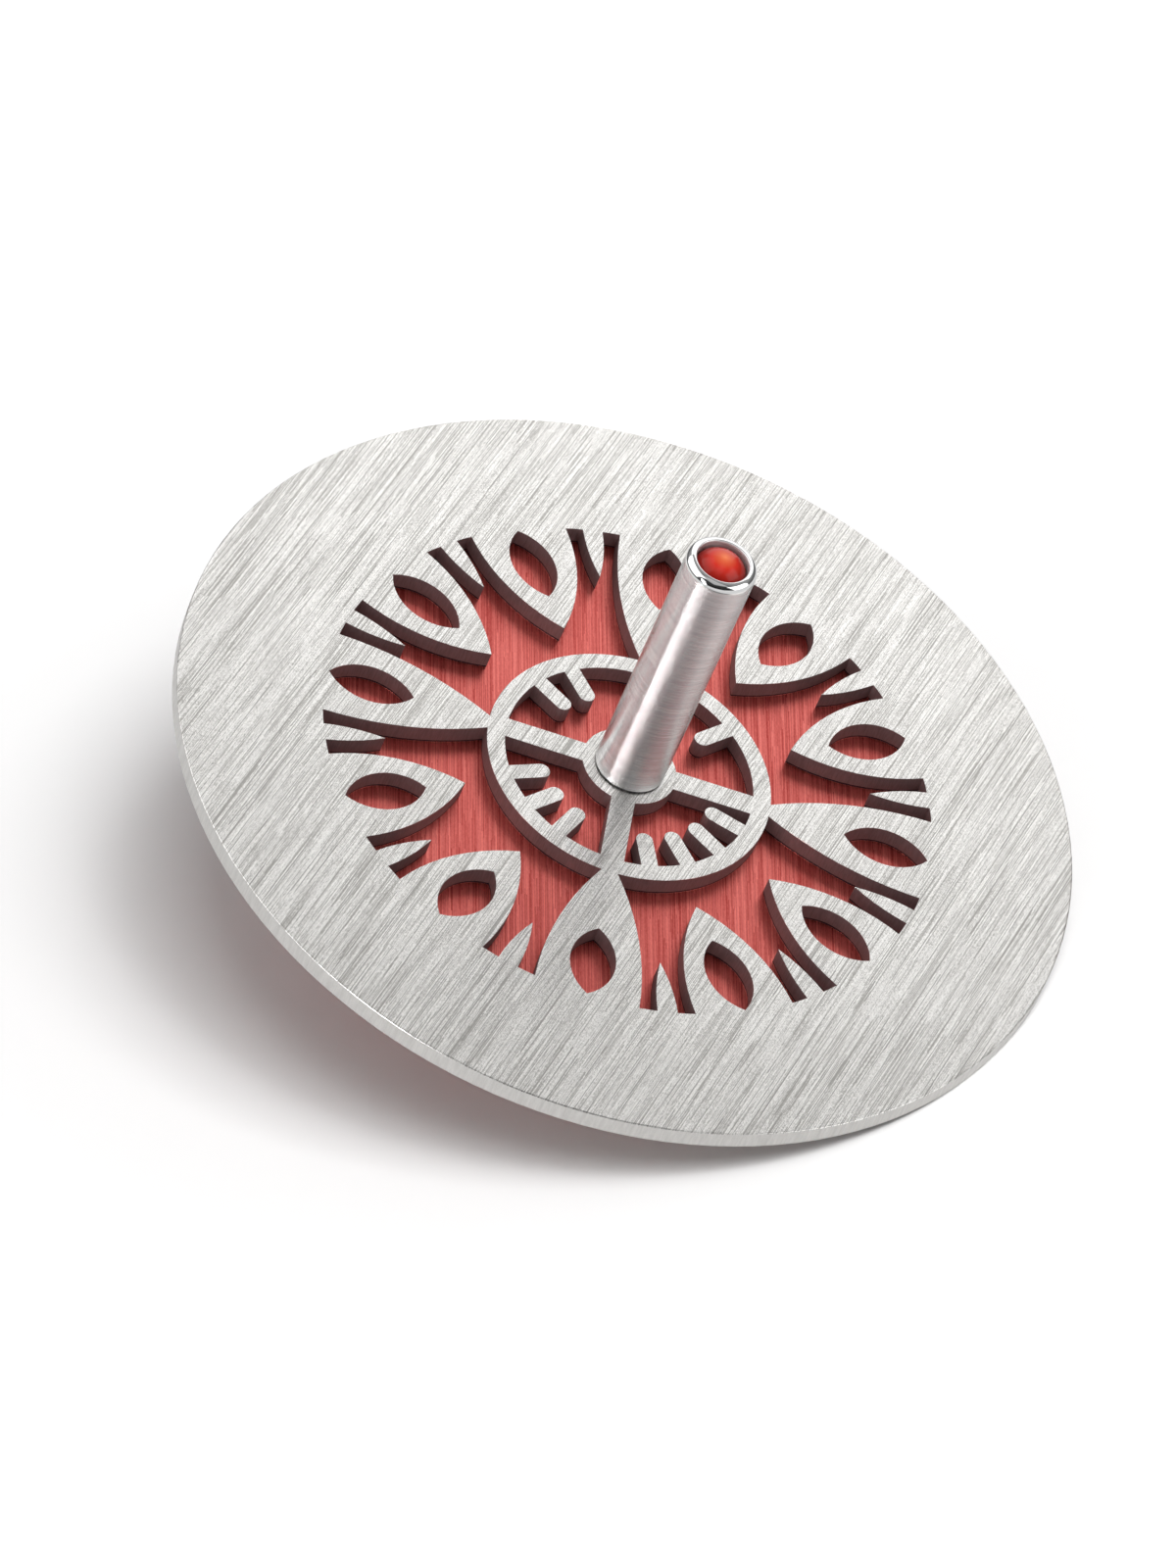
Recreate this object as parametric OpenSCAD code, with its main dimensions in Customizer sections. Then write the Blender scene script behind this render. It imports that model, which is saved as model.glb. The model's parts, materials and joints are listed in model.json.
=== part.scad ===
// Disc dreidel: a pierced and brushed plate over a red disc, clamped between a turned stem
// and a turned foot, and shown lying as it comes to rest, on its point and its rim.
// Millimetres. +Z is up from the table, the point touches the table at the origin, and the
// stem leans towards +X.

/* [Top plate] */
// Diameter of the plate
plate_d = 80; // [72:1:100]
// Thickness of the plate
plate_t = 1.7; // [1.2:0.1:2.5]

/* [Pierced rosette] */
// Diameter of the pierced field
field_d = 54.4; // [50:0.2:60]
// Number of petals round the field
petals = 12; // [8:4:16]
// Width of a petal where it leaves the edge of the field
petal_w = 9.2; // [8:0.1:10]
// Gap between a short petal's tip and the mark ring
petal_gap = 3; // [2:0.1:5]
// Depth to which a long petal's tip runs into the mark ring
petal_bite = 1.2; // [1:0.05:1.4]
// Width of the eye cut in each petal
eye_w = 4; // [2:0.1:4.4]
// Metal left between an eye's inner tip and the tip of a short petal
eye_tip = 3.7; // [2.5:0.1:5]
// Distance from an eye's outer tip to the edge of the field
eye_edge = 0.2; // [0:0.1:1]
// Width of the slim leaf between two petals
leaf_w = 1.8; // [1.2:0.1:2.4]
// Length of the slim leaf between two petals
leaf_l = 5.4; // [4:0.1:7]

/* [Mark ring] */
// Diameter over the ring
ring_d = 25.4; // [24:0.2:28]
// Width of the ring
ring_w = 1.6; // [1.5:0.1:2.2]
// Width of each of the four spokes
spoke_w = 2.1; // [1.4:0.1:2.8]
// Width of the hub's edge that shows round the stem
hub_edge = 1.1; // [0.6:0.1:1.6]
// Width of one counting bar
bar_w = 1.5; // [1:0.1:1.8]
// Length of one counting bar, from the ring to its round end
bar_l = 3.6; // [2.4:0.1:4.4]
// Angle between neighbouring counting bars
bar_step = 18.5; // [17:0.5:20]

/* [Red disc] */
// Width of the lap that the disc has under the plate, past the field
disc_lap = 1.8; // [1:0.1:4]
// Thickness of the disc
disc_t = 1.5; // [1:0.1:2.5]

/* [Stem] */
// Diameter of the stem
stem_d = 6.2; // [5.6:0.1:8]
// Height of the stem above the plate
stem_h = 26.4; // [20:0.1:34]
// Width of the lip round the bead
lip_w = 0.8; // [0.75:0.05:1.2]
// Radius on the outside of the lip
lip_outer_r = 0.5; // [0.2:0.05:0.5]
// Radius on the inside of the lip
lip_inner_r = 0.2; // [0.1:0.05:0.25]
// Chamfer round the base of the stem
stem_chamfer = 0.15; // [0.05:0.05:0.4]

/* [Bead] */
// Height of the bead's straight side
bead_side = 0.8; // [0.4:0.1:1.5]
// Height of the bead's dome
bead_dome = 1.3; // [0.6:0.1:1.8]
// How far the dome stands above the lip
bead_proud = 0.5; // [0:0.1:0.8]

/* [Foot] */
// Diameter of the foot's shoulder
foot_d = 12; // [9:0.5:18]
// Height of the foot, from its shoulder face to the point
foot_h = 13.8; // [11:0.1:18]
// Thickness of the shoulder's straight edge
shoulder_t = 1.2; // [0.6:0.1:2]
// Radius of the point
point_r = 1; // [0.6:0.1:1.6]

/* [Stud] */
// Diameter of the stud's thread
stud_d = 3; // [2.5:0.5:4]
// Length of the stud
stud_l = 16; // [12:1:18]
// Chamfer on the two ends of the stud
stud_chamfer = 0.4; // [0.2:0.1:0.6]
// Key size of the stud's socket
stud_key = 1.5; // [1.2:0.1:1.6]
// Depth of the stud's socket
stud_key_depth = 2; // [1:0.1:2.5]
// Tapped depth past each end of the stud
tap_runout = 1.2; // [0.5:0.1:2]

/* [Fits and edges] */
// Radius that breaks the rim edges of the plate and the disc
rim_break = 0.12; // [0.05:0.01:0.3]
// Radial gap between the stud and its tapped holes
thread_gap = 0.04; // [0.02:0.01:0.1]
// Radial gap between the stud and the holes through the plate and the disc
hole_gap = 0.1; // [0.05:0.01:0.3]
// Radial gap between the bead and its socket
bead_gap = 0.05; // [0.02:0.01:0.1]

/* [Rest] */
// Turn of the top about its own axis when it has come to rest
rest_turn = 29; // [0:1:359]

/* [Hidden] */
$fn = 96;

// A throw has four results, each with a window, a spoke and a long petal of its own
results = 4;
result_step = 360 / results;

// How far a cutter runs past the faces that it cuts
over = 1;

plate_r = plate_d / 2;
field_r = field_d / 2;
ring_r = ring_d / 2;
ring_inner_r = ring_r - ring_w;
disc_r = field_r + disc_lap;
stem_r = stem_d / 2;
hub_r = stem_r + hub_edge;
socket_r = stem_r - lip_w;
bead_r = socket_r - bead_gap;
tap_r = stud_d / 2 + thread_gap;
stud_hole_r = stud_d / 2 + hole_gap;

// Petals are measured from the edge of the field to their tips, and an eye fits any of them
petal_step = 360 / petals;
long_petal_l = field_r - ring_r + petal_bite;
short_petal_l = field_r - ring_r - petal_gap;
eye_l = short_petal_l - eye_tip - eye_edge;

// The plate and the disc meet at height 0 on the top's own axis
stem_base = plate_t;
foot_top = -disc_t;
point_centre = foot_top - foot_h + point_r;

// The stud goes as far into the stem as into the foot
stud_grip = (stud_l - plate_t - disc_t) / 2;
tap_depth = stud_grip + tap_runout;

// The bead's dome stands proud of the lip, which sets how deep its socket is
socket_depth = bead_side + bead_dome - bead_proud;

// Lean at rest: the table touches the round of the point and the round of the rim's lower edge
rim_run = plate_r - rim_break;
rim_rise = rim_break - point_centre;
rest_lean = atan(rim_rise / rim_run) + asin((point_r - rim_break) / norm([rim_run, rim_rise]));

// Radius of the arc that rises by this height over half a chord of this length
function arc_radius(half_chord, rise) = (half_chord ^ 2 + rise ^ 2) / (2 * rise);

// Sets the upright top down on the table, on its point and its rim
module at_rest() {
    translate([0, 0, point_r])
        rotate([0, rest_lean, 0])
            translate([0, 0, -point_centre])
                rotate([0, 0, rest_turn])
                    children();
}

// A pointed leaf along X, made of two arcs
module pointed_leaf(half_length, half_width) {
    side_r = arc_radius(half_length, half_width);
    intersection_for(side = [-1, 1])
        translate([0, side * (side_r - half_width)])
            circle(r = side_r);
}

// A rectangle that is centred on the X axis, from one radius to another
module strip(from_r, to_r, width) {
    translate([from_r, -width / 2])
        square([to_r - from_r, width]);
}

module ring_area(inner_r, outer_r) {
    difference() {
        circle(r = outer_r);
        circle(r = inner_r);
    }
}

// Petals that point inwards: a long one at each spoke carries the mark ring, the rest are short
module petal_area() {
    for (i = [0 : petals - 1])
        rotate(i * petal_step)
            translate([field_r, 0]) {
                on_spoke = i % (petals / results) == 0;
                pointed_leaf(on_spoke ? long_petal_l : short_petal_l, petal_w / 2);
            }
    for (i = [0 : petals - 1])
        rotate((i + 1 / 2) * petal_step)
            translate([field_r, 0])
                pointed_leaf(leaf_l, leaf_w / 2);
}

module petal_eyes() {
    for (i = [0 : petals - 1])
        rotate(i * petal_step)
            translate([field_r - eye_edge - eye_l / 2, 0])
                pointed_leaf(eye_l / 2, eye_w / 2);
}

// Bars with round ends that stand inwards from the ring, to be counted
module counting_bars(count) {
    end_r = ring_inner_r - bar_l + bar_w / 2;
    for (i = [0 : count - 1])
        rotate((i - (count - 1) / 2) * bar_step) {
            strip(end_r, ring_r - ring_w / 2, bar_w);
            translate([end_r, 0])
                circle(d = bar_w);
        }
}

// Windows between the hub, the ring and the spokes, with from one bar up to as many as results
module mark_windows() {
    difference() {
        ring_area(hub_r, ring_inner_r);
        for (i = [0 : results - 1])
            rotate(i * result_step) {
                strip(0, ring_r, spoke_w);
                rotate(result_step / 2)
                    counting_bars(i + 1);
            }
    }
}

module pierced_area() {
    difference() {
        ring_area(ring_r, field_r);
        petal_area();
    }
    petal_eyes();
    mark_windows();
}

// Half section of a plain disc with its two rim edges rounded
module disc_section(r, thickness) {
    square([r - rim_break, thickness]);
    translate([0, rim_break])
        square([r, thickness - 2 * rim_break]);
    for (z = [rim_break, thickness - rim_break])
        translate([r - rim_break, z])
            circle(r = rim_break);
}

// A disc that stands on height 0, with the stud's clearance hole
module drilled_disc(r, thickness) {
    difference() {
        rotate_extrude()
            disc_section(r, thickness);
        translate([0, 0, -over])
            cylinder(r = stud_hole_r, h = thickness + 2 * over);
    }
}

module top_plate() {
    color("gainsboro")
        difference() {
            drilled_disc(plate_r, plate_t);
            translate([0, 0, -over])
                linear_extrude(plate_t + 2 * over)
                    pierced_area();
        }
}

module red_disc() {
    color("firebrick")
        translate([0, 0, -disc_t])
            drilled_disc(disc_r, disc_t);
}

// Half section of the stem: chamfered base, straight side and a lip that is round outside
module stem_section() {
    lip_r = min(lip_outer_r, lip_w);
    polygon([
        [0, 0],
        [stem_r - stem_chamfer, 0],
        [stem_r, stem_chamfer],
        [stem_r, stem_h - lip_r],
        [stem_r - lip_r, stem_h - lip_r],
        [stem_r - lip_r, stem_h],
        [0, stem_h]
    ]);
    translate([stem_r - lip_r, stem_h - lip_r])
        circle(r = lip_r);
}

// What is taken out of the stem's top: the bead's socket, with its mouth rounded
module socket_section() {
    mouth_r = socket_r + lip_inner_r;
    translate([0, stem_h - socket_depth])
        square([socket_r, socket_depth + over]);
    difference() {
        translate([0, stem_h - lip_inner_r])
            square([mouth_r, lip_inner_r + over]);
        translate([mouth_r, stem_h - lip_inner_r])
            circle(r = lip_inner_r);
    }
}

module stem() {
    color("silver")
        translate([0, 0, stem_base])
            difference() {
                rotate_extrude()
                    difference() {
                        stem_section();
                        socket_section();
                    }
                translate([0, 0, -over])
                    cylinder(r = tap_r, h = tap_depth + over);
            }
}

// A short cylinder under a dome, standing on the floor of its socket
module bead() {
    dome_r = arc_radius(bead_r, bead_dome);
    dome_top = bead_side + bead_dome;
    color("red")
        translate([0, 0, stem_base + stem_h - socket_depth])
            rotate_extrude()
                intersection() {
                    square([bead_r, dome_top]);
                    translate([0, dome_top - dome_r]) {
                        circle(r = dome_r);
                        translate([0, -dome_top])
                            square([bead_r, dome_top + dome_r - bead_dome]);
                    }
                }
}

// Half section of the foot, from its shoulder face at 0 down to the round of its point
module foot_section() {
    shoulder_r = foot_d / 2;
    centre_z = point_r - foot_h;
    cone_h = -shoulder_t - centre_z;
    cone_angle = atan(shoulder_r / cone_h) - asin(point_r / norm([shoulder_r, cone_h]));
    tangent_z = centre_z - point_r * sin(cone_angle);
    apex_z = centre_z - point_r / sin(cone_angle);
    difference() {
        polygon([
            [0, 0],
            [shoulder_r, 0],
            [shoulder_r, -shoulder_t],
            [0, apex_z]
        ]);
        difference() {
            translate([-over, apex_z - over])
                square([shoulder_r + over, tangent_z - apex_z + over]);
            translate([0, centre_z])
                circle(r = point_r);
        }
    }
}

module foot() {
    color("silver")
        translate([0, 0, foot_top])
            difference() {
                rotate_extrude()
                    foot_section();
                translate([0, 0, -tap_depth])
                    cylinder(r = tap_r, h = tap_depth + over);
            }
}

// Headless screw with its key socket towards the foot
module stud() {
    stud_r = stud_d / 2;
    end_r = stud_r - stud_chamfer;
    color("dimgray")
        translate([0, 0, stem_base + stud_grip - stud_l])
            difference() {
                rotate_extrude()
                    polygon([
                        [0, 0],
                        [end_r, 0],
                        [stud_r, stud_chamfer],
                        [stud_r, stud_l - stud_chamfer],
                        [end_r, stud_l],
                        [0, stud_l]
                    ]);
                translate([0, 0, -over])
                    cylinder(d = stud_key / cos(30), h = stud_key_depth + over, $fn = 6);
            }
}

at_rest() top_plate();
at_rest() red_disc();
at_rest() stem();
at_rest() bead();
at_rest() foot();
at_rest() stud();
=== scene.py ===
"""Dresses a disc dreidel: a pierced brushed plate over a red disc, with a turned stem, bead and foot."""

import json
import math

import bmesh
import bpy
from bpy.props import FloatProperty, FloatVectorProperty, PointerProperty
from mathutils import Matrix, Vector

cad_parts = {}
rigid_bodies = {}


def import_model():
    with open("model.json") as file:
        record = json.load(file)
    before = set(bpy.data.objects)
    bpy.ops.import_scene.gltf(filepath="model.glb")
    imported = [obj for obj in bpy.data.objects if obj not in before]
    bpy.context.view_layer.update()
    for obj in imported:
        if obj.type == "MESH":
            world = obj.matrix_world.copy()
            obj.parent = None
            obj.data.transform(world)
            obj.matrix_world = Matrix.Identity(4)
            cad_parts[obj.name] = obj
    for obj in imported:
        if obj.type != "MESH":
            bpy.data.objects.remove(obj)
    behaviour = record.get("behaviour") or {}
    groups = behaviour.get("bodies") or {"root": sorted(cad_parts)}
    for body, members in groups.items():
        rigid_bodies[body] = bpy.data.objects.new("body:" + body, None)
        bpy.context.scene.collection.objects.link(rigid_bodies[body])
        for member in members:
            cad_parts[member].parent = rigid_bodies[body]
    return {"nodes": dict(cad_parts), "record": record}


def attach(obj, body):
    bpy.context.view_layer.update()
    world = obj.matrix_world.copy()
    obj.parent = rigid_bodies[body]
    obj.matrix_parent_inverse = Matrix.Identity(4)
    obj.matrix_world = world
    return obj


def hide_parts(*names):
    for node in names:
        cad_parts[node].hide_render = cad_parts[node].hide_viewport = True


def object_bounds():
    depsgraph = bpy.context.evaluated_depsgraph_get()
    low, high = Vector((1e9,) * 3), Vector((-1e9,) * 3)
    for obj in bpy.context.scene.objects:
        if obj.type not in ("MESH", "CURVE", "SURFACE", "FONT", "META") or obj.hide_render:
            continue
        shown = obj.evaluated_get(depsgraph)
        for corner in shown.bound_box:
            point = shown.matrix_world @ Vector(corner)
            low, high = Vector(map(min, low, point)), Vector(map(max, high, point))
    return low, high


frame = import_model()
CAD_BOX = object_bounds()

bl_info = {
    "name": "Disc Dreidel",
    "version": (1, 0, 0),
    "blender": (4, 5, 0),
    "location": "3D View > Sidebar > Dreidel",
    "description": "Dresses a disc dreidel with brushed, dyed and turned finishes on a studio floor",
    "category": "Object",
}

MM = 0.001
BODY = "root"

# The top's own axis, as the record's mount on the stem gives it
GRIP = next(mount for mount in frame["record"]["mounts"] if mount["name"] == "stem_grip")
AXIS = Vector(GRIP["axis"]).normalized()
LEVEL = Vector((0, 1, 0))
LOW_SIDE = LEVEL.cross(AXIS).normalized()
TO_AXIS = Matrix((LOW_SIDE, LEVEL, AXIS))
AXIS_FOOT = Vector(GRIP["pos_m"]) - AXIS * AXIS.dot(Vector(GRIP["pos_m"]))
AT_REST = Matrix.Translation(AXIS_FOOT) @ TO_AXIS.transposed().to_4x4()

# Points closer than the first count as one when a CAD node is measured, and than the second are merged
SAME = 0.002 * MM
MERGE = 0.0005 * MM

# The plate: flat joins are dissolved and sharp edges broken, and its rim lies within a narrow band.
# A face counts as flat where its normal has more than this share along the axis.
FLAT_JOIN = math.radians(0.2)
SHARP_EDGE = math.radians(50)
RIM_BAND = 1 * MM
FLAT_SHARE = 0.3

# The turned pieces: sides round the axis, steps along the arcs of a section, and the seam's depth.
# An arc that ends on the axis stops just short of it, and its last ring is merged into the pole.
TURNED_SIDES = 160
LIP_STEPS = 10
MOUTH_STEPS = 6
DOME_STEPS = 20
POINT_STEPS = 14
SEAM_DEPTH = 0.3 * MM
POLE = math.radians(89.5)

# Edges below these angles are shaded smooth
PLATE_SMOOTH = math.radians(40)
TURNED_SMOOTH = math.radians(35)
BEAD_SMOOTH = math.radians(40)

# Turned metal: pitch and steepest slope of each set of rings, what the polish looks like, and the black
# painted shade in the seam's groove and how it fades
LATHE_RINGS = ((0.052 * MM, 0.42), (0.033 * MM, 0.28))
POLISHED = (0.90, 0.90, 0.90)
POLISHED_ROUGHNESS = 0.07
SOCKET_ROUGHNESS = 0.4
POLISH_FADE = 0.04 * MM
SEAM_PAINTED_SHADE = (0.03, 0.03, 0.03)
SEAM_SHADE_FADE = 0.03 * MM

# The roughness of every noise that marks a surface
NOISE_ROUGHNESS = 0.6

# The floor: a round table that shows whiter between these distances, counted in radii of the plate
FLOOR_R = 0.45
FLOOR_SIDES = 96
FAR_FLOOR_GAIN = 1.2
NEAR_FLOOR = 1.3
FAR_FLOOR = 2.4

# The walls brighten between these heights, and darken between these cosines from the camera's direction
WALL_HEIGHTS = (0.1, 0.65)
CAMERA_COSINES = (0.3, 0.85)

# The lamps: keys that give the shadow a soft edge, and panels that the metal mirrors.
# The back panel's place is counted along the plate's mirrored view, to the left and upwards.
KEY_DISTANCE = 4.0
KEY_SIZE = 1.8
PANEL_DISTANCE = 0.6
BACK_PANEL_SIZE = (0.36, 0.40)
BACK_PANEL_AWAY = 0.3
BACK_PANEL_LEFT = 0.08
BACK_PANEL_UP = 0.165


def rings(node):
    """Radius about the axis and height along it of every point of a CAD node."""
    found = []
    for vertex in frame["nodes"][node].data.vertices:
        place = TO_AXIS @ (vertex.co - AXIS_FOOT)
        found.append((math.hypot(place.x, place.y), place.z))
    return found


def span(node):
    """Lowest height, highest height and greatest radius of a CAD node on the axis."""
    points = rings(node)
    heights = [height for radius, height in points]
    return min(heights), max(heights), max(radius for radius, height in points)


PLATE_LOW, PLATE_TOP, PLATE_R = span("top_plate")
PLATE_CENTRE = AXIS_FOOT + AXIS * PLATE_TOP
STEM_LOW, STEM_TOP, STEM_R = span("stem")


def length_property(name, description, default):
    """One small length that a user would change."""
    return FloatProperty(
        name=name, description=description, default=default, min=0.0, unit="LENGTH", precision=6
    )


def angle_property(name, description, default):
    """One angle that a user would change."""
    return FloatProperty(name=name, description=description, default=default, subtype="ANGLE")


def colour_property(name, description, default):
    """One colour that a user would change."""
    return FloatVectorProperty(
        name=name, description=description, default=default, min=0.0, max=1.0, size=3, subtype="COLOR"
    )


def level_property(name, description, default):
    """One brightness that a user would change."""
    return FloatProperty(name=name, description=description, default=default, min=0.0)


def share_property(name, description, default):
    """One share from none to all that a user would change."""
    return FloatProperty(
        name=name, description=description, default=default, min=0.0, max=1.0, subtype="FACTOR"
    )


class DreidelSizes(bpy.types.PropertyGroup):
    """Small sizes that the finishing adds to the solids."""

    edge_break: length_property(
        "Edge break",
        "Width of the broken edge round the plate and its windows",
        0.03 * MM,
    )
    seam: length_property("Seam", "Height of the groove where the stem meets the plate", 0.18 * MM)
    stem_chamfer: length_property("Stem chamfer", "Chamfer round the base of the stem", 0.06 * MM)
    lip_outer: length_property("Lip outside radius", "Radius on the outside of the polished lip", 0.66 * MM)
    lip_inner: length_property("Lip inside radius", "Radius on the inside of the polished lip", 0.13 * MM)
    point_round: length_property("Point radius", "Radius of the point that the top spins on", 1.0 * MM)
    shoulder_break: length_property(
        "Shoulder break",
        "Width of the bevel round the shoulder of the foot",
        0.15 * MM,
    )
    plate_grain_turn: angle_property(
        "Plate grain",
        "Direction of the brushing on the plate, from the side that touches the table",
        math.radians(101.2),
    )
    disc_grain_turn: angle_property(
        "Red disc grain",
        "Direction of the brushing on the red disc, from the side that touches the table",
        math.radians(127.8),
    )


class DreidelColours(bpy.types.PropertyGroup):
    """Colours of the finishes, as the metal or dye is written."""

    plate_pale: colour_property("Plate, pale", "Bright hairlines of the brushed plate", (1.0, 0.985, 0.96))
    plate_dark: colour_property("Plate, dark", "Dark hairlines of the brushed plate", (0.41, 0.395, 0.375))
    # Dark scorched walls, with a red tint that is a painted reflection of the red disc
    cut_wall: colour_property("Cut walls", "Scorched walls of the windows", (0.29, 0.18, 0.18))
    red_pale: colour_property("Red, pale", "Bright hairlines of the red disc", (1.0, 0.27, 0.235))
    red_deep: colour_property("Red, deep", "Deep dye of the red disc", (0.40, 0.03, 0.027))
    turned: colour_property("Turned metal", "Metal of the stem and the foot", (0.94, 0.93, 0.93))
    turned_dark: colour_property("Turned metal, dark", "Dark rings left by the lathe", (0.74, 0.73, 0.74))
    # Painted light: the bead's bright middle is a painted highlight and its dark edge is painted shade
    bead_painted_glow: colour_property("Bead, heart", "Light that gathers in the bead's middle", (1.0, 0.26, 0.10))
    bead_body: colour_property("Bead, body", "Red of the bead", (0.72, 0.03, 0.015))
    bead_painted_shade: colour_property("Bead, edge", "Dark edge of the bead", (0.10, 0.004, 0.004))
    stud_black: colour_property("Stud", "Blackened steel of the stud", (0.12, 0.12, 0.13))
    floor_white: colour_property("Floor", "Paper of the studio floor", (0.95, 0.95, 0.95))


class DreidelStage(bpy.types.PropertyGroup):
    """Camera and light of the studio."""

    azimuth: angle_property("Azimuth", "Turn of the camera round the top", math.radians(35.2))
    elevation: angle_property("Elevation", "Height of the camera above the table", math.radians(35.0))
    distance: FloatProperty(
        name="Distance",
        description="Distance from the camera to the middle of the plate",
        default=0.8,
        unit="LENGTH",
    )
    lens: FloatProperty(
        name="Lens",
        description="Focal length in millimetres",
        default=215.2,
        unit="CAMERA",
    )
    right_of_middle: FloatProperty(
        name="Right of middle",
        description="How far the plate's middle lies to the right of the picture's",
        default=3.55 * MM,
        unit="LENGTH",
        precision=5,
    )
    above_middle: FloatProperty(
        name="Above middle",
        description="How far the plate's middle lies above the picture's",
        default=1.53 * MM,
        unit="LENGTH",
        precision=5,
    )
    fill: level_property("Fill", "Light from the studio walls on a level floor, as a share of white", 0.275)
    right_key: level_property(
        "Right key",
        "Light from the high lamp on the right on a level floor, as a share of white",
        0.32,
    )
    front_key: level_property(
        "Front key",
        "Light from the lamp beside the camera on a level floor, as a share of white",
        0.30,
    )
    walls_high: level_property("High walls", "How bright the studio is overhead, as metal shows it", 0.30)
    walls_low: level_property(
        "Low walls",
        "How bright the studio is at the height of the table, as metal shows it",
        0.11,
    )
    camera_side: share_property(
        "Camera side",
        "How much of that brightness is left behind the camera",
        0.15,
    )
    back_panel: level_property("Back panel", "Brightness of the panel that the plate mirrors", 0.975)
    front_strip: level_property(
        "Front strip",
        "Brightness of the narrow light beside the camera, which the stem mirrors",
        16.5,
    )
    left_panel: level_property("Left panel", "Brightness of the panel on the left of the stem", 1.2)
    right_panel: level_property("Right panel", "Brightness of the panel on the right of the stem", 1.5)
    top_panel: level_property(
        "Top panel",
        "Brightness of the panel over the stem, which its lip mirrors",
        0.4,
    )
    floor_bounce: share_property(
        "Floor bounce",
        "How much of its light the paper floor gives back to the top",
        0.18,
    )
    floor_mirror: level_property("Floor in metal", "Share of the floor's white that metal mirrors", 0.85)
    floor_gain: level_property(
        "Floor gain",
        "How much brighter the paper floor shows to the camera than it is",
        1.25,
    )


class Signal:
    """A shader socket that takes part in Python expressions, each of which adds a Math node."""

    def __init__(self, tree, socket):
        self.tree = tree
        self.socket = socket

    def maths(self, operation, *operands):
        """Adds a Math node on these operands."""
        made = self.tree.nodes.new("ShaderNodeMath")
        made.operation = operation
        for place, operand in zip(made.inputs, operands):
            fill(self.tree, place, operand)
        return Signal(self.tree, made.outputs[0])

    def __add__(self, other):
        return self.maths("ADD", self, other)

    def __radd__(self, other):
        return self.maths("ADD", other, self)

    def __sub__(self, other):
        return self.maths("SUBTRACT", self, other)

    def __rsub__(self, other):
        return self.maths("SUBTRACT", other, self)

    def __mul__(self, other):
        return self.maths("MULTIPLY", self, other)

    def __rmul__(self, other):
        return self.maths("MULTIPLY", other, self)


def fill(tree, socket, value):
    """Links a signal to a socket, or sets the socket's own value."""
    if isinstance(value, Signal):
        tree.links.new(value.socket, socket)
    elif socket.type == "RGBA" and len(value) == 3:
        socket.default_value = (*value, 1.0)
    else:
        socket.default_value = value


def scaled(colour, share):
    """A colour with each part scaled by this share."""
    return tuple(share * part for part in colour)


def between(first, second, share):
    """A colour this share of the way from the first to the second."""
    return tuple((1 - share) * a + share * b for a, b in zip(first, second))


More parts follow.
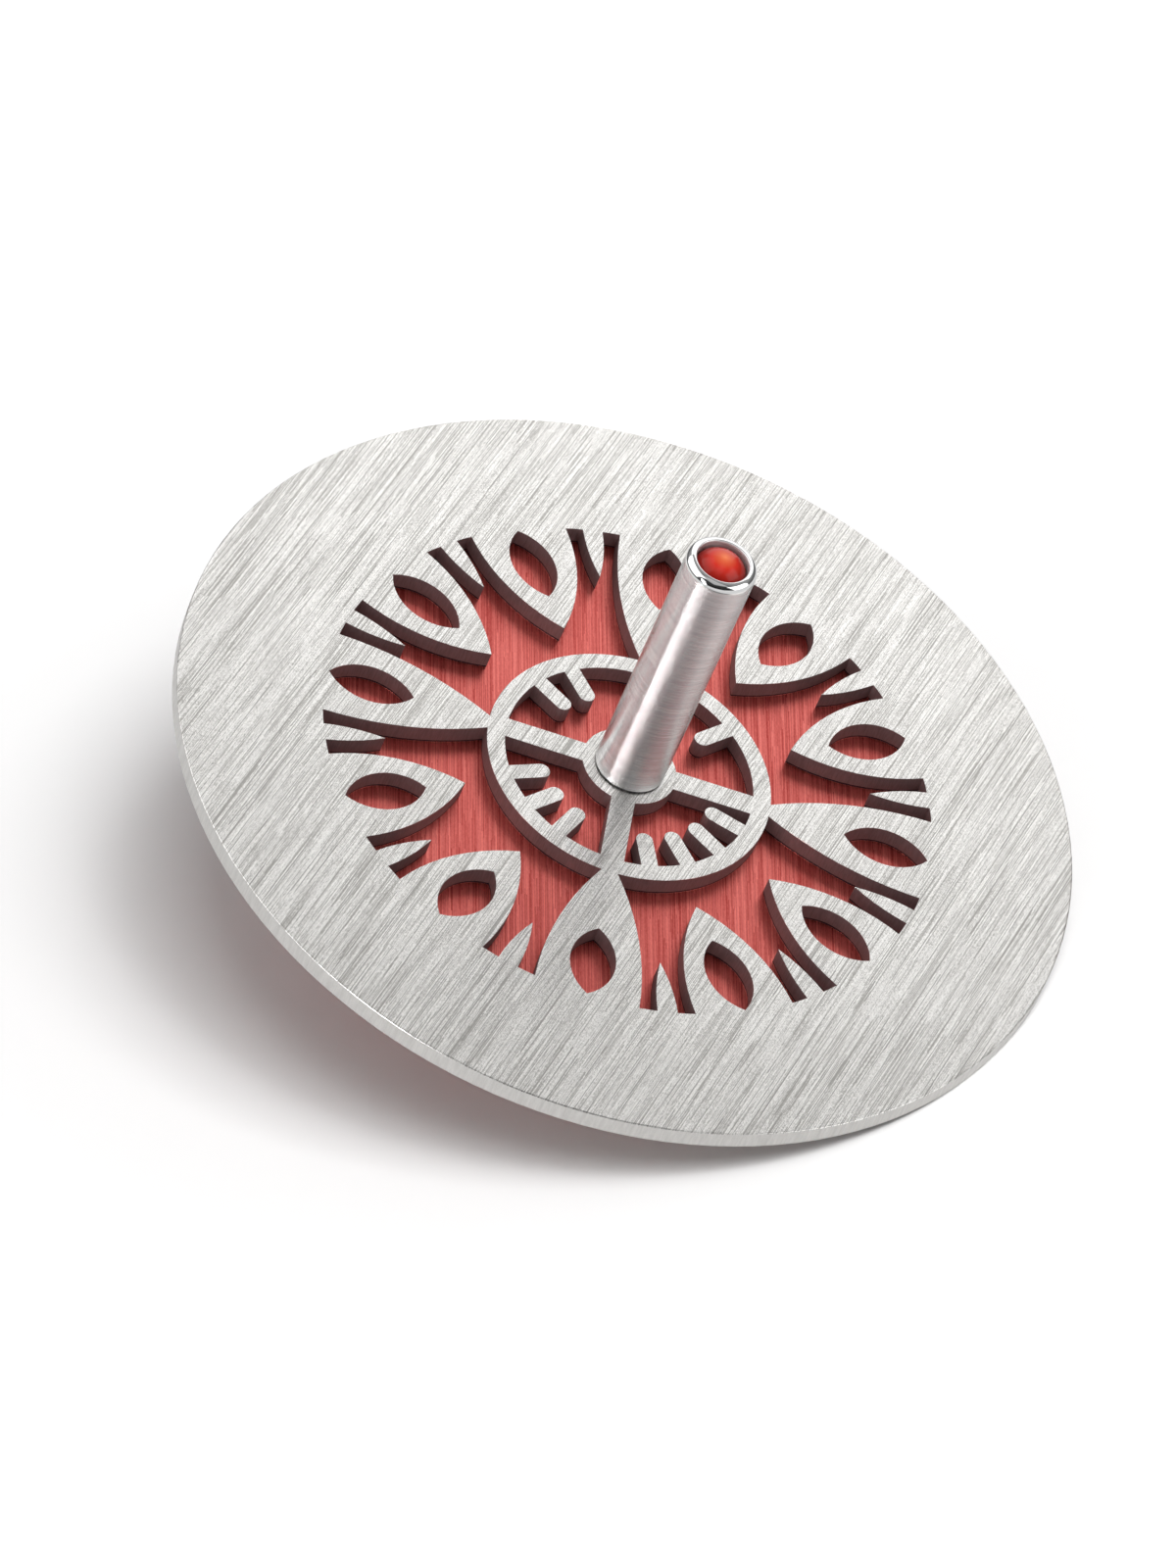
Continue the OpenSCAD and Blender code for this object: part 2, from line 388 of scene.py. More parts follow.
class Recipe:
    """The nodes of one material or world."""

    def __init__(self, tree):
        self.tree = tree
        tree.nodes.clear()

    def node(self, kind, settings=None, sockets=None, output=0):
        """Adds any node: its settings come first, then the values or links of its sockets."""
        made = self.tree.nodes.new(kind)
        for name, value in (settings or {}).items():
            if name == "stops":
                self.set_stops(made.color_ramp, value)
            else:
                setattr(made, name, value)
        for key, value in (sockets or {}).items():
            fill(self.tree, made.inputs[key], value)
        return Signal(self.tree, made.outputs[output]) if made.outputs else None

    @staticmethod
    def set_stops(ramp, stops):
        """Gives a colour ramp these stops of position and colour."""
        while len(ramp.elements) > 1:
            ramp.elements.remove(ramp.elements[-1])
        for index, (position, colour) in enumerate(stops):
            element = ramp.elements[0] if index == 0 else ramp.elements.new(position)
            element.position = position
            element.color = (*colour, 1.0)

    def laid(self, turn=0.0):
        """Object coordinates on the axis: X at this turn from the low side, and Z up the stem."""
        turned_round = Matrix.Rotation(-turn, 3, "Z") @ TO_AXIS
        return self.node(
            "ShaderNodeMapping",
            {"vector_type": "POINT"},
            {
                "Vector": self.node("ShaderNodeTexCoord", output="Object"),
                "Location": -(turned_round @ AXIS_FOOT),
                "Rotation": turned_round.to_euler(),
            },
        )

    def grain(self, place, lengths, detail=2.0, shift=0.0):
        """Noise whose marks have these lengths along X, Y and Z, with values round a half."""
        stretched = self.node(
            "ShaderNodeVectorMath",
            {"operation": "MULTIPLY"},
            {0: place, 1: tuple(1 / length for length in lengths)},
        )
        moved = self.node(
            "ShaderNodeVectorMath", {"operation": "ADD"}, {0: stretched, 1: (shift, shift, shift)}
        )
        return self.node(
            "ShaderNodeTexNoise",
            {"noise_dimensions": "3D"},
            {"Vector": moved, "Scale": 1.0, "Detail": detail, "Roughness": NOISE_ROUGHNESS},
        )

    def hairs(self, place, length, width, seed):
        """Straight hairlines along X, side by side, each of one even tone between 0 and 1."""
        rows = self.axis_part(place, "Y") * (1 / width)
        row = rows.maths("FLOOR", rows)
        start = self.node("ShaderNodeTexWhiteNoise", {"noise_dimensions": "1D"}, {"W": row + seed})
        columns = self.axis_part(place, "X") * (1 / length) + 5 * start
        column = columns.maths("FLOOR", columns)
        cell = self.node("ShaderNodeCombineXYZ", None, {"X": row, "Y": column, "Z": seed})
        return self.node("ShaderNodeTexWhiteNoise", {"noise_dimensions": "3D"}, {"Vector": cell})

    def axis_part(self, place, name):
        """One coordinate of a place, by its letter."""
        return self.node("ShaderNodeSeparateXYZ", None, {"Vector": place}, output=name)

    def from_axis(self, place):
        """How far a place lies from the top's axis."""
        x, y = self.axis_part(place, "X"), self.axis_part(place, "Y")
        return self.node("ShaderNodeMath", {"operation": "SQRT"}, {0: x * x + y * y})

    def ramp_between(self, value, low, high, to_low=0.0, to_high=1.0):
        """A smooth step of a value, from one level to another."""
        return self.node(
            "ShaderNodeMapRange",
            {"interpolation_type": "SMOOTHSTEP", "clamp": True},
            {"Value": value, "From Min": low, "From Max": high, "To Min": to_low, "To Max": to_high},
        )

    def mix(self, share, first, second):
        """The first colour where the share is 0 and the second where it is 1."""
        return self.node(
            "ShaderNodeMix",
            {"data_type": "RGBA", "blend_type": "MIX", "clamp_factor": True},
            {0: share, 6: first, 7: second},
            output=2,
        )

    def bump(self, height, depth):
        """A normal from a height, which is scaled by a depth in metres."""
        return self.node("ShaderNodeBump", None, {"Height": height, "Distance": depth, "Strength": 1.0})

    def surface(self, **sockets):
        """Closes a material with the principled shader, whose sockets take these values or links."""
        named = {name.replace("_", " "): value for name, value in sockets.items()}
        shader = self.node("ShaderNodeBsdfPrincipled", None, named)
        self.node("ShaderNodeOutputMaterial", None, {"Surface": shader})


def new_material(name):
    """An empty material and the recipe that fills it."""
    material = bpy.data.materials.new(name)
    material.use_nodes = True
    return material, Recipe(material.node_tree)


def brushed_plate_finish(sizes, colours):
    """Bright steel, brushed one way: long dark hairlines in loose groups on a pale, fine grain."""
    material, recipe = new_material("brushed_plate")
    place = recipe.laid(sizes.plate_grain_turn)
    broad = recipe.grain(place, (30 * MM, 0.9 * MM, 0.9 * MM), shift=13.0)
    relief = recipe.grain(place, (5 * MM, 0.09 * MM, 0.09 * MM), detail=1.0)
    speckle = recipe.grain(place, (0.13 * MM, 0.08 * MM, 0.08 * MM), detail=0.0, shift=31.0)
    thin = recipe.hairs(place, 4 * MM, 0.05 * MM, 1.0)
    deep = recipe.hairs(place, 9 * MM, 0.06 * MM, 2.0) + 0.25 * broad
    line = 1 - recipe.ramp_between(deep, 0.1, 0.5)
    tone = 0.66 - line + 0.6 * (thin - 0.5) + 1.3 * (speckle - 0.5)
    colour = recipe.mix(tone, tuple(colours.plate_dark), tuple(colours.plate_pale))
    recipe.surface(
        Base_Color=colour,
        Metallic=1.0,
        Roughness=0.26 + 0.12 * broad,
        Normal=recipe.bump(relief, 0.012 * MM),
    )
    return material


def plate_rim_finish(colours):
    """The turned rim of the plate, with faint marks across it."""
    material, recipe = new_material("plate_rim")
    place = recipe.laid()
    marks = recipe.grain(place, (0.25 * MM, 0.25 * MM, 2.5 * MM))
    fine = recipe.grain(place, (0.1 * MM, 0.1 * MM, 0.1 * MM), shift=5.0)
    tone = 0.6 + 0.5 * (marks - 0.5) + 0.3 * (fine - 0.5)
    recipe.surface(
        Base_Color=recipe.mix(tone, tuple(colours.plate_dark), tuple(colours.plate_pale)),
        Metallic=1.0,
        Roughness=0.3 + 0.15 * fine,
        Normal=recipe.bump(marks, 0.01 * MM),
    )
    return material


def cut_wall_finish(colours):
    """Walls of the windows: dark from the cutting beam and tinted red as a painted reflection of the red
    disc, with faint marks, and black at the foot as painted shade where they sit on the disc.
    """
    material, recipe = new_material("cut_wall")
    place = recipe.laid()
    along = recipe.axis_part(place, "Z")
    marks = recipe.grain(place, (0.12 * MM, 0.12 * MM, 1.2 * MM))
    wander = recipe.grain(place, (0.6 * MM, 0.6 * MM, 0.6 * MM), shift=4.0)
    tone = recipe.ramp_between(marks, 0.3, 0.7)
    # The walls' dark colour is scorch from the cutting beam; its red tint is a painted reflection of the
    # red disc
    pale = tuple(colours.cut_wall)
    colour = recipe.mix(tone, scaled(pale, 0.75), pale)
    # Painted shade: a black line along the foot of the walls, where the plate sits on the red disc
    wavy = along - 0.08 * MM * wander
    above_foot_shade = recipe.ramp_between(wavy, PLATE_LOW + 0.12 * MM, PLATE_LOW + 0.16 * MM)
    recipe.surface(
        Base_Color=recipe.mix(above_foot_shade, scaled(pale, 0.08), colour),
        Metallic=0.3,
        Roughness=0.55 + 0.1 * marks,
        Normal=recipe.bump(marks, 0.008 * MM),
    )
    return material


def red_disc_finish(sizes, colours):
    """Aluminium that was brushed and then dyed red, with paler hairlines."""
    material, recipe = new_material("red_anodised")
    place = recipe.laid(sizes.disc_grain_turn)
    broad = recipe.grain(place, (20 * MM, 0.4 * MM, 0.4 * MM), shift=9.0)
    relief = recipe.grain(place, (6 * MM, 0.10 * MM, 0.10 * MM), detail=1.0)
    speckle = recipe.grain(place, (0.3 * MM, 0.1 * MM, 0.1 * MM), detail=1.0, shift=17.0)
    thin = recipe.hairs(place, 7 * MM, 0.08 * MM, 4.0)
    wide = recipe.hairs(place, 12 * MM, 0.15 * MM, 5.0)
    tone = 0.5 * thin + 0.25 * wide + 0.25 * broad + 0.4 * speckle - 0.18
    recipe.surface(
        Base_Color=recipe.mix(tone, tuple(colours.red_deep), tuple(colours.red_pale)),
        Metallic=1.0,
        Roughness=0.34 + 0.12 * broad,
        Normal=recipe.bump(relief, 0.015 * MM),
    )
    return material


def turned_finish(name, colours, polished=None, seam_top=None):
    """Turned metal with the fine rings of the lathe.

    It is polished above a height and outside a radius, and painted black as shade in the seam's groove up
    to the top of the seam, where given.
    """
    material, recipe = new_material(name)
    place = recipe.laid()
    along = recipe.axis_part(place, "Z")
    coarse = recipe.grain(place, (7 * MM, 7 * MM, 0.14 * MM), shift=3.0)
    tone = recipe.ramp_between(coarse, 0.3, 0.7)
    colour = recipe.mix(tone, tuple(colours.turned_dark), tuple(colours.turned))
    roughness = 0.18 + 0.08 * coarse
    height = 0
    for pitch, slope in LATHE_RINGS:
        turns = along * (2 * math.pi / pitch)
        height = turns.maths("SINE", turns) * (slope * pitch / (2 * math.pi * MM)) + height
    if polished is not None:
        from_height, from_radius = polished
        away = recipe.from_axis(place)
        outside = recipe.ramp_between(away, from_radius - POLISH_FADE, from_radius + POLISH_FADE)
        share = outside * recipe.ramp_between(along, from_height - POLISH_FADE, from_height + POLISH_FADE)
        colour = recipe.mix(share, colour, POLISHED)
        rough = roughness + SOCKET_ROUGHNESS * (1 - outside)
        roughness = rough * (1 - share) + POLISHED_ROUGHNESS * share
        height = height * (1 - share)
    # Painted shade: the groove where the stem meets the plate is painted black
    if seam_top is not None:
        clear_of_seam_shade = recipe.ramp_between(along, seam_top - SEAM_SHADE_FADE, seam_top)
        colour = recipe.mix(clear_of_seam_shade, SEAM_PAINTED_SHADE, colour)
    recipe.surface(
        Base_Color=colour,
        Metallic=1.0,
        Roughness=roughness,
        Normal=recipe.bump(height, 1 * MM),
    )
    return material


def bead_finish(colours, radius):
    """Polished red bead, with a painted highlight in its middle and painted shade at its edge."""
    material, recipe = new_material("red_bead")
    place = recipe.laid()
    share = recipe.from_axis(place) * (1 / radius)
    heart, body, edge = colours.bead_painted_glow, colours.bead_body, colours.bead_painted_shade
    # Painted light: the stops run from a painted highlight in the middle, through the bead's red, to
    # painted shade at the edge
    stops = (
        (0.0, tuple(heart)),
        (0.22, between(heart, body, 0.55)),
        (0.5, tuple(body)),
        (0.82, between(body, edge, 0.6)),
        (1.0, tuple(edge)),
    )
    colour = recipe.node("ShaderNodeValToRGB", {"stops": stops}, {"Fac": share})
    cloud = recipe.grain(place, (0.8 * MM, 0.8 * MM, 0.8 * MM))
    recipe.surface(
        Base_Color=colour,
        Roughness=0.16 + 0.08 * cloud,
        Specular_IOR_Level=0.25,
        Coat_Weight=0.1,
        Coat_Roughness=0.05,
    )
    return material


def stud_finish(colours):
    """Blackened steel with a faint grain."""
    material, recipe = new_material("stud_steel")
    place = recipe.laid()
    grain = recipe.grain(place, (0.3 * MM, 0.3 * MM, 0.15 * MM))
    black = tuple(colours.stud_black)
    recipe.surface(
        Base_Color=recipe.mix(grain, scaled(black, 0.7), scaled(black, 1.3)),
        Metallic=0.8,
        Roughness=0.35 + 0.2 * grain,
        Normal=recipe.bump(grain, 0.01 * MM),
    )
    return material


def deselect_all():
    """Leaves object mode clean for the next operator."""
    if bpy.context.object is not None and bpy.context.object.mode != "OBJECT":
        bpy.ops.object.mode_set(mode="OBJECT")
    bpy.ops.object.select_all(action="DESELECT")


def select_edges(piece, wanted):
    """In edit mode, selects the edges that the test wants, and no others."""
    bpy.ops.mesh.select_mode(type="EDGE")
    bpy.ops.mesh.select_all(action="DESELECT")
    shape = bmesh.from_edit_mesh(piece.data)
    for edge in shape.edges:
        edge.select_set(wanted(edge))
    bmesh.update_edit_mesh(piece.data)


def arc(centre, radius, start, end, steps):
    """Points of a section on an arc, as radius and height, with both ends."""
    points = []
    for step in range(steps + 1):
        angle = start + (end - start) * step / steps
        points.append((centre[0] + radius * math.cos(angle), centre[1] + radius * math.sin(angle)))
    return points


def turned_piece(name, section):
    """Turns a section on the axis: a round face at its start, extruded ring by ring to its end."""
    deselect_all()
    (radius, height), *following = section
    bpy.ops.mesh.primitive_circle_add(
        vertices=TURNED_SIDES, radius=radius, fill_type="NGON", location=(0, 0, height)
    )
    piece = bpy.context.object
    piece.name = name
    bpy.ops.object.transform_apply()
    bpy.ops.object.mode_set(mode="EDIT")
    bpy.ops.mesh.select_all(action="SELECT")
    for next_radius, next_height in following:
        bpy.ops.mesh.extrude_region_move(TRANSFORM_OT_translate={"value": (0, 0, next_height - height)})
        share = next_radius / radius
        bpy.ops.transform.resize(value=(share, share, 1), center_override=(0, 0, next_height))
        radius, height = next_radius, next_height
    return piece


def settle(piece, smooth_angle):
    """Points the faces outwards, lays an upright piece where the top lies, and smooths it."""
    bpy.ops.mesh.select_all(action="SELECT")
    bpy.ops.mesh.remove_doubles(threshold=MERGE)
    bpy.ops.mesh.normals_make_consistent(inside=False)
    bpy.ops.object.mode_set(mode="OBJECT")
    piece.matrix_world = AT_REST
    bpy.ops.object.transform_apply()
    bpy.ops.object.shade_smooth_by_angle(angle=smooth_angle)


def join_frame(piece, node):
    """Puts a finished piece on the body in place of its CAD node."""
    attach(piece, BODY)
    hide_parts(node)


def dress_node(node, material):
    """Gives a CAD node that stays its finish."""
    for place in frame["nodes"][node].material_slots:
        place.material = material


class DREIDEL_OT_plate(bpy.types.Operator):
    """Break the edges of the pierced plate and brush it"""

    bl_idname = "dreidel.plate"
    bl_label = "Pierced plate"

    def execute(self, context):
        sizes = context.scene.dreidel_sizes
        colours = context.scene.dreidel_colours
        deselect_all()
        node = frame["nodes"]["top_plate"]
        node.select_set(True)
        context.view_layer.objects.active = node
        bpy.ops.object.duplicate()
        piece = context.object
        piece.name = "plate_pierced"
        bpy.ops.object.parent_clear(type="CLEAR_KEEP_TRANSFORM")
        bpy.ops.object.mode_set(mode="EDIT")
        bpy.ops.mesh.select_all(action="SELECT")
        bpy.ops.mesh.customdata_custom_splitnormals_clear()
        bpy.ops.mesh.remove_doubles(threshold=MERGE)
        bpy.ops.mesh.dissolve_limited(angle_limit=FLAT_JOIN)
        select_edges(piece, lambda edge: edge.calc_face_angle(0.0) > SHARP_EDGE)
        bpy.ops.mesh.bevel(
            offset=sizes.edge_break, segments=2, profile=0.5, affect="EDGES", clamp_overlap=True
        )
        bpy.ops.object.mode_set(mode="OBJECT")
        bpy.ops.object.shade_smooth_by_angle(angle=PLATE_SMOOTH)
        weighted = piece.modifiers.new("flat_faces", "WEIGHTED_NORMAL")
        weighted.keep_sharp = True
        bpy.ops.object.modifier_apply(modifier=weighted.name)
        piece.data.materials.clear()
        piece.data.materials.append(brushed_plate_finish(sizes, colours))
        piece.data.materials.append(cut_wall_finish(colours))
        piece.data.materials.append(plate_rim_finish(colours))
        flat, wall, rim = range(3)
        for face in piece.data.polygons:
            place = TO_AXIS @ (face.center - AXIS_FOOT)
            if abs(face.normal.dot(AXIS)) > FLAT_SHARE:
                face.material_index = flat
            elif math.hypot(place.x, place.y) < PLATE_R - RIM_BAND:
                face.material_index = wall
            else:
                face.material_index = rim
        join_frame(piece, "top_plate")
        return {"FINISHED"}


class DREIDEL_OT_red_disc(bpy.types.Operator):
    """Brush and dye the disc behind the plate"""

    bl_idname = "dreidel.red_disc"
    bl_label = "Red disc"

    def execute(self, context):
        dress_node("red_disc", red_disc_finish(context.scene.dreidel_sizes, context.scene.dreidel_colours))
        return {"FINISHED"}


class DREIDEL_OT_stem(bpy.types.Operator):
    """Turn the stem with its polished lip"""

    bl_idname = "dreidel.stem"
    bl_label = "Turned stem"

    def execute(self, context):
        sizes = context.scene.dreidel_sizes
        points = rings("stem")
        tap_r = min(radius for radius, height in points if abs(height - STEM_LOW) < SAME)
        tap_end = max(height for radius, height in points if abs(radius - tap_r) < SAME)
        socket_floor, _, bead_r = span("bead")
        socket_r = min(radius for radius, height in points if radius > bead_r)
        seam_top = STEM_LOW + sizes.seam
        lip_centre = (STEM_R - sizes.lip_outer, STEM_TOP - sizes.lip_outer)
        mouth_centre = (socket_r + sizes.lip_inner, STEM_TOP - sizes.lip_inner)
        section = [
            (tap_r, tap_end),
            (tap_r, STEM_LOW),
            (STEM_R - SEAM_DEPTH, STEM_LOW),
            (STEM_R - SEAM_DEPTH, seam_top),
            (STEM_R - sizes.stem_chamfer, seam_top),
            (STEM_R, seam_top + sizes.stem_chamfer),
            *arc(lip_centre, sizes.lip_outer, 0.0, math.radians(90), LIP_STEPS),
            *arc(mouth_centre, sizes.lip_inner, math.radians(90), math.radians(180), MOUTH_STEPS),
            (socket_r, socket_floor),
        ]
        piece = turned_piece("stem_turned", section)
        settle(piece, TURNED_SMOOTH)
        polished = (STEM_TOP - 1.1 * sizes.lip_outer, socket_r + 0.5 * sizes.lip_inner)
        piece.data.materials.append(
            turned_finish("turned_stem", context.scene.dreidel_colours, polished, seam_top)
        )
        join_frame(piece, "stem")
        return {"FINISHED"}


class DREIDEL_OT_bead(bpy.types.Operator):
    """Shape the domed bead in the stem's socket"""

    bl_idname = "dreidel.bead"
    bl_label = "Bead"

    def execute(self, context):
        low, top, bead_r = span("bead")
        side_top = max(height for radius, height in rings("bead") if abs(radius - bead_r) < SAME)
        rise = top - side_top
        dome_r = (bead_r ** 2 + rise ** 2) / (2 * rise)
        dome_centre = (0.0, top - dome_r)
        edge_angle = math.asin((side_top - dome_centre[1]) / dome_r)
        section = [(bead_r, low), *arc(dome_centre, dome_r, edge_angle, POLE, DOME_STEPS)]
        piece = turned_piece("bead_domed", section)
        bpy.ops.mesh.merge(type="CENTER")
        settle(piece, BEAD_SMOOTH)
        piece.data.materials.append(bead_finish(context.scene.dreidel_colours, bead_r))
        join_frame(piece, "bead")
        return {"FINISHED"}


class DREIDEL_OT_foot(bpy.types.Operator):
    """Turn the foot with its round point"""

    bl_idname = "dreidel.foot"
    bl_label = "Turned foot"

    def execute(self, context):
        sizes = context.scene.dreidel_sizes
        low, top, shoulder_r = span("foot")
        points = rings("foot")
        tap_r = min(radius for radius, height in points if abs(height - top) < SAME)
        tap_end = min(height for radius, height in points if abs(radius - tap_r) < SAME)
        shoulder_low = min(height for radius, height in points if abs(radius - shoulder_r) < SAME)
        centre = (0.0, low + sizes.point_round)
        reach = math.hypot(shoulder_r, shoulder_low - centre[1])
        lean = math.atan2(shoulder_r, shoulder_low - centre[1]) - math.asin(sizes.point_round / reach)
        section = [
            (tap_r, tap_end),
            (tap_r, top),
            (shoulder_r, top),
            (shoulder_r, shoulder_low),
            *arc(centre, sizes.point_round, -lean, -POLE, POINT_STEPS),
        ]
        piece = turned_piece("foot_turned", section)
        bpy.ops.mesh.merge(type="CENTER")
        shoulder = (top, shoulder_low)

        def on_shoulder(edge):
            """Edges that run round the shoulder at one of its two heights."""
            ends = [vertex.co for vertex in edge.verts]
            level = any(all(abs(end.z - height) < SAME for end in ends) for height in shoulder)
            return level and all(abs(math.hypot(end.x, end.y) - shoulder_r) < SAME for end in ends)

        select_edges(piece, on_shoulder)
        bpy.ops.mesh.bevel(offset=sizes.shoulder_break, segments=3, profile=0.5, affect="EDGES")
        settle(piece, TURNED_SMOOTH)
        piece.data.materials.append(turned_finish("turned_foot", context.scene.dreidel_colours))
        join_frame(piece, "foot")
        return {"FINISHED"}


class DREIDEL_OT_stud(bpy.types.Operator):
    """Blacken the stud inside the top"""

    bl_idname = "dreidel.stud"
    bl_label = "Stud"

    def execute(self, context):
        dress_node("stud", stud_finish(context.scene.dreidel_colours))
        return {"FINISHED"}


def towards(azimuth, elevation):
    """Direction at this azimuth from +X and this elevation above the table, in degrees."""
    turn, rise = math.radians(azimuth), math.radians(elevation)
    return Vector((math.cos(turn) * math.cos(rise), math.sin(turn) * math.cos(rise), math.sin(rise)))


def facing_plate(direction):
    """Rotation of a lamp in this direction that turns its light to the plate."""
    return direction.to_track_quat("Z", "Y").to_matrix()


def add_lamp(name, place, turn, size, radiance, matte):
    """A softbox in this place from the plate's middle, for matte surfaces or else for gloss."""
    light = bpy.data.lights.new(name, "AREA")
    light.shape = "RECTANGLE"
    light.size, light.size_y = size
    light.energy = radiance * math.pi * size[0] * size[1]
    lamp = bpy.data.objects.new(name, light)
    bpy.context.scene.collection.objects.link(lamp)
    lamp.location = PLATE_CENTRE + place
    lamp.rotation_euler = turn.to_euler()
    lamp.visible_camera = False
    lamp.visible_diffuse = matte
    lamp.visible_glossy = not matte


class DREIDEL_OT_stage(bpy.types.Operator):
    """Lay the floor, and set up the lights and the camera"""

    bl_idname = "dreidel.stage"
    bl_label = "Studio"

    def execute(self, context):
        stage = context.scene.dreidel_stage
        azimuth, elevation = stage.azimuth, stage.elevation
        right = Vector((math.cos(azimuth), math.sin(azimuth), 0))
        back = Vector(
            (
                math.sin(azimuth) * math.cos(elevation),
                -math.cos(azimuth) * math.cos(elevation),
                math.sin(elevation),
            )
        )
        up = back.cross(right)
        self.lay_floor(context, stage)
        self.light_world(context, stage, back)
        self.add_lamps(stage, back)
        self.aim_camera(context, stage, right, up, back)
        context.scene.view_settings.view_transform = "Standard"
        return {"FINISHED"}

    @staticmethod
    def shown(recipe):
        """1 for rays from the camera, from gloss and through glass, and 0 for the rest."""
        return (
            recipe.node("ShaderNodeLightPath", output="Is Camera Ray")
            + recipe.node("ShaderNodeLightPath", output="Is Glossy Ray")
            + recipe.node("ShaderNodeLightPath", output="Is Transmission Ray")
        )

    def lay_floor(self, context, stage):
        """A round paper table that shows as white and keeps the shadow."""
        deselect_all()
        bpy.ops.mesh.primitive_circle_add(
            vertices=FLOOR_SIDES, radius=FLOOR_R, fill_type="NGON", location=(0, 0, CAD_BOX[0].z)
        )
        floor = context.object
        floor.name = "studio_floor"
        material, recipe = new_material("floor_paper")
        white = tuple(context.scene.dreidel_colours.floor_white)
        seen = recipe.node("ShaderNodeLightPath", output="Is Camera Ray")
        bounced = scaled(white, stage.floor_bounce)
        mirrored = scaled(white, stage.floor_mirror)
        to_the_top = recipe.mix(self.shown(recipe), bounced, mirrored)
        place = recipe.node("ShaderNodeTexCoord", output="Object")
        away = recipe.node("ShaderNodeVectorMath", {"operation": "LENGTH"}, {0: place}, output="Value")
        distance = recipe.ramp_between(away, NEAR_FLOOR * PLATE_R, FAR_FLOOR * PLATE_R)
        near = scaled(white, stage.floor_gain)
        to_the_camera = recipe.mix(distance, near, scaled(near, FAR_FLOOR_GAIN))
        colour = recipe.mix(seen, to_the_top, to_the_camera)
        paper = recipe.node("ShaderNodeBsdfDiffuse", None, {"Color": colour})
        recipe.node("ShaderNodeOutputMaterial", None, {"Surface": paper})
        floor.data.materials.append(material)

    def light_world(self, context, stage, back):
        """Studio walls: white to the camera, and to metal bright overhead and dark behind the camera."""
        world = bpy.data.worlds.new("studio_walls")
        world.use_nodes = True
        context.scene.world = world
        recipe = Recipe(world.node_tree)
        direction = recipe.node("ShaderNodeTexCoord", output="Generated")
        rise = recipe.node("ShaderNodeSeparateXYZ", None, {"Vector": direction}, output="Z")
        facing = recipe.node(
            "ShaderNodeVectorMath",
            {"operation": "DOT_PRODUCT"},
            {0: direction, 1: tuple(back)},
            output="Value",
        )
        level = recipe.ramp_between(rise, *WALL_HEIGHTS, stage.walls_low, stage.walls_high)
        level = level * recipe.ramp_between(facing, *CAMERA_COSINES, 1.0, stage.camera_side)
        seen = recipe.node("ShaderNodeLightPath", output="Is Camera Ray")
        walls = recipe.node(
            "ShaderNodeBackground", None, {"Color": (1, 1, 1), "Strength": seen + (1 - seen) * level}
        )
        matte = recipe.node("ShaderNodeBackground", None, {"Color": (1, 1, 1), "Strength": stage.fill})
        mixed = recipe.node("ShaderNodeMixShader", None, {0: self.shown(recipe), 1: matte, 2: walls})
        recipe.node("ShaderNodeOutputWorld", None, {"Surface": mixed})

    def add_lamps(self, stage, back):
        """Two soft keys for the shadow and the matte surfaces, and five panels that the metal mirrors."""
        for name, azimuth, elevation, share in (
            ("right_key", 0, 65, stage.right_key),
            ("front_key", -40, 60, stage.front_key),
        ):
            direction = towards(azimuth, elevation)
            radiance = share * math.pi * KEY_DISTANCE ** 2 / (KEY_SIZE ** 2 * direction.z)
            place = KEY_DISTANCE * direction
            add_lamp(name, place, facing_plate(direction), (KEY_SIZE, KEY_SIZE), radiance, True)
        front = (back - AXIS * back.dot(AXIS)).normalized()
        across = AXIS.cross(front)
        mirrored = -back.reflect(AXIS)
        beyond = mirrored.cross(across)
        place = BACK_PANEL_AWAY * mirrored - BACK_PANEL_LEFT * across + BACK_PANEL_UP * beyond
        turn = Matrix((across, beyond, mirrored)).transposed()
        add_lamp("back_panel", place, turn, BACK_PANEL_SIZE, stage.back_panel, False)
        # Degrees round the stem from the camera's side and above the plate, size in metres, and brightness
        for name, round_stem, above_plate, size, radiance in (
            ("front_strip", -27, 15, (0.10, 0.35), stage.front_strip),
            ("left_panel", -84, 31, (0.75, 0.90), stage.left_panel),
            ("right_panel", 90, 38, (0.50, 0.50), stage.right_panel),
            ("top_panel", 0, 80, (0.40, 0.40), stage.top_panel),
        ):
            azimuth, rise = math.radians(round_stem), math.radians(above_plate)
            level = front * math.cos(azimuth) + across * math.sin(azimuth)
            direction = level * math.cos(rise) + AXIS * math.sin(rise)
            add_lamp(name, PANEL_DISTANCE * direction, facing_plate(direction), size, radiance, False)

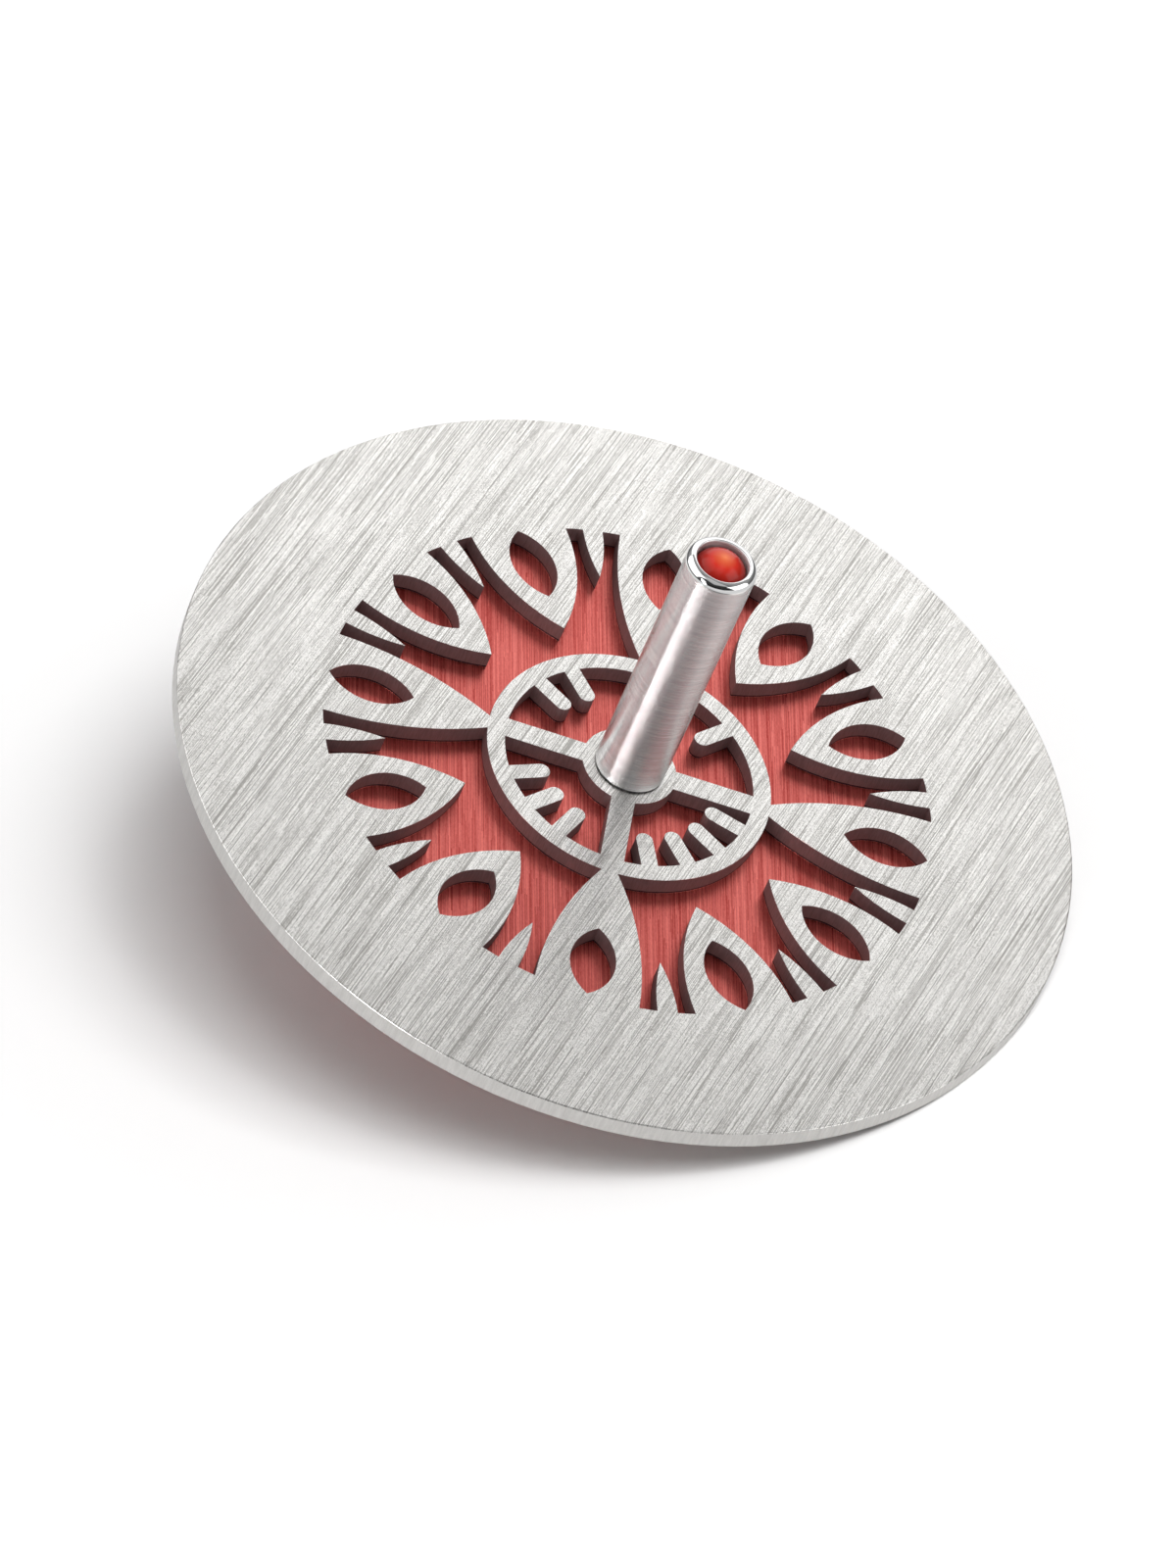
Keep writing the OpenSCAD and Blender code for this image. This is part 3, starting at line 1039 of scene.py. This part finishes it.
    def aim_camera(self, context, stage, right, up, back):
        """A long lens at the angle of the photograph."""
        camera = bpy.data.objects.new("camera", bpy.data.cameras.new("camera"))
        context.scene.collection.objects.link(camera)
        camera.data.lens = stage.lens
        aim = PLATE_CENTRE - right * stage.right_of_middle - up * stage.above_middle
        turn = Matrix((right, up, back)).transposed().to_4x4()
        camera.matrix_world = Matrix.Translation(aim + back * stage.distance) @ turn
        context.scene.camera = camera


GROUPS = (
    ("dreidel_sizes", DreidelSizes),
    ("dreidel_colours", DreidelColours),
    ("dreidel_stage", DreidelStage),
)
OPERATORS = (
    DREIDEL_OT_plate,
    DREIDEL_OT_red_disc,
    DREIDEL_OT_stem,
    DREIDEL_OT_bead,
    DREIDEL_OT_foot,
    DREIDEL_OT_stud,
    DREIDEL_OT_stage,
)


class DREIDEL_PT_panel(bpy.types.Panel):
    """Lists the pieces of the dreidel and the values that they use"""

    bl_idname = "DREIDEL_PT_panel"
    bl_label = "Disc Dreidel"
    bl_space_type = "VIEW_3D"
    bl_region_type = "UI"
    bl_category = "Dreidel"

    def draw(self, context):
        for name, group in GROUPS:
            box = self.layout.box()
            for field in group.__annotations__:
                box.prop(getattr(context.scene, name), field)
        for operator in OPERATORS:
            self.layout.operator(operator.bl_idname)


def register():
    """Adds the values, the operators and the panel to Blender."""
    for name, group in GROUPS:
        bpy.utils.register_class(group)
        setattr(bpy.types.Scene, name, PointerProperty(type=group))
    for operator in OPERATORS:
        bpy.utils.register_class(operator)
    bpy.utils.register_class(DREIDEL_PT_panel)


def unregister():
    """Takes them out again, in the opposite order."""
    bpy.utils.unregister_class(DREIDEL_PT_panel)
    for operator in reversed(OPERATORS):
        bpy.utils.unregister_class(operator)
    for name, group in reversed(GROUPS):
        delattr(bpy.types.Scene, name)
        bpy.utils.unregister_class(group)


def main():
    """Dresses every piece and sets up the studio."""
    register()
    bpy.ops.dreidel.plate()
    bpy.ops.dreidel.red_disc()
    bpy.ops.dreidel.stem()
    bpy.ops.dreidel.bead()
    bpy.ops.dreidel.foot()
    bpy.ops.dreidel.stud()
    bpy.ops.dreidel.stage()


if __name__ == "__main__":
    main()
